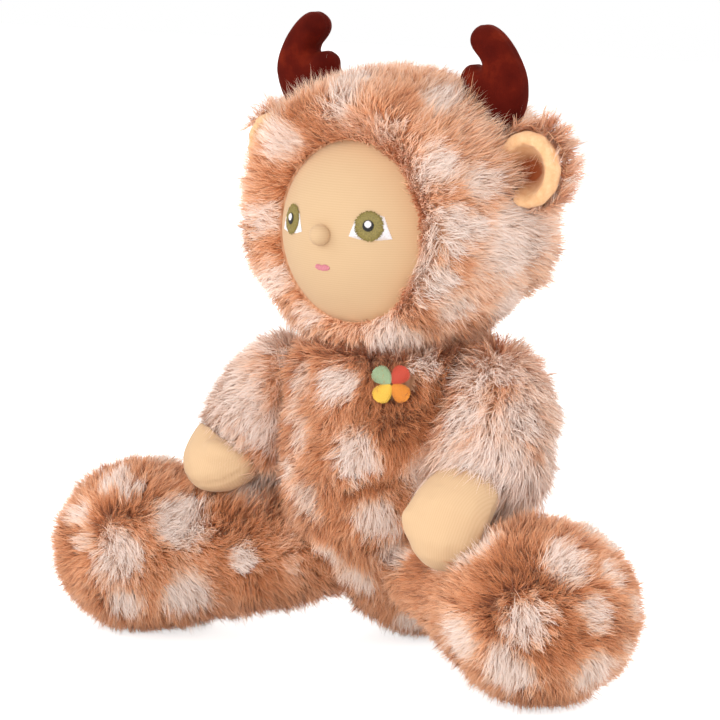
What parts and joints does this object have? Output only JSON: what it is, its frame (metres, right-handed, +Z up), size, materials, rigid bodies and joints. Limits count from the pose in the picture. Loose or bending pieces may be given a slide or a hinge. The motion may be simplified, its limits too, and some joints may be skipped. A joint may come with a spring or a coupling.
{
  "type": "seated plush deer doll",
  "caption": "Seated stuffed doll in a hooded spotted fawn suit of long fur, with antlers, ears, mitten hands and ball feet. Head, arms and legs turn at their seams.",
  "frame": {"origin": "middle of the small flat under its seat", "axes": "+Z up, the doll looks along -Y, its left side is +X"},
  "size_m": [0.325, 0.1628, 0.3055],
  "materials": {
    "fur": "long faux fur pile",
    "jersey": "fine rib knit",
    "hand_jersey": "fine rib knit",
    "velvet": "crushed velvet",
    "ear_plush": "short velour",
    "wadding": "loose fibre",
    "pouch_cotton": "plain weave",
    "white_thread": "satin stitch",
    "olive_thread": "satin stitch",
    "black_thread": "satin stitch",
    "pink_thread": "satin stitch",
    "flower_thread": "satin stitch"
  },
  "bodies": {
    "torso": {"torso_cover": "fur", "pellet_pouch": "pouch_cotton", "torso_filling": "wadding", "chest_flower": "flower_thread"},
    "head": {"head_skin": "jersey", "head_filling": "wadding", "hood": "fur", "nose": "jersey", "lips": "pink_thread", "eye_white_left": "white_thread", "iris_left": "olive_thread", "pupil_left": "black_thread", "eye_glint_left": "white_thread", "ear_back_left": "fur", "ear_lining_left": "ear_plush", "antler_left": "velvet", "eye_white_right": "white_thread", "iris_right": "olive_thread", "pupil_right": "black_thread", "eye_glint_right": "white_thread", "ear_back_right": "fur", "ear_lining_right": "ear_plush", "antler_right": "velvet"},
    "arm_left": {"sleeve_left": "fur", "hand_left": "hand_jersey", "arm_filling_left": "wadding"},
    "leg_left": {"leg_cover_left": "fur", "foot_cover_left": "fur", "leg_filling_left": "wadding"},
    "arm_right": {"sleeve_right": "fur", "hand_right": "hand_jersey", "arm_filling_right": "wadding"},
    "leg_right": {"leg_cover_right": "fur", "foot_cover_right": "fur", "leg_filling_right": "wadding"}
  },
  "joints": [
    {"name": "neck_turn", "type": "hinge", "parent": "torso", "child": "head", "pos_m": [0, -0.032, 0.155], "axis": [0, 0, 1], "range_deg": [-25, 25]},
    {"name": "shoulder_left", "type": "hinge", "parent": "torso", "child": "arm_left", "pos_m": [0, -0.03, 0.14], "axis": [-1, 0, 0], "range_deg": [0, 45]},
    {"name": "shoulder_right", "type": "hinge", "parent": "torso", "child": "arm_right", "pos_m": [0, -0.03, 0.14], "axis": [-1, 0, 0], "range_deg": [0, 45]},
    {"name": "hip_left", "type": "hinge", "parent": "torso", "child": "leg_left", "pos_m": [0.028, -0.043, 0.048], "axis": [0, 1, 0], "range_deg": [0, 40]},
    {"name": "hip_right", "type": "hinge", "parent": "torso", "child": "leg_right", "pos_m": [-0.028, -0.043, 0.048], "axis": [0, -1, 0], "range_deg": [0, 40]}
  ]
}
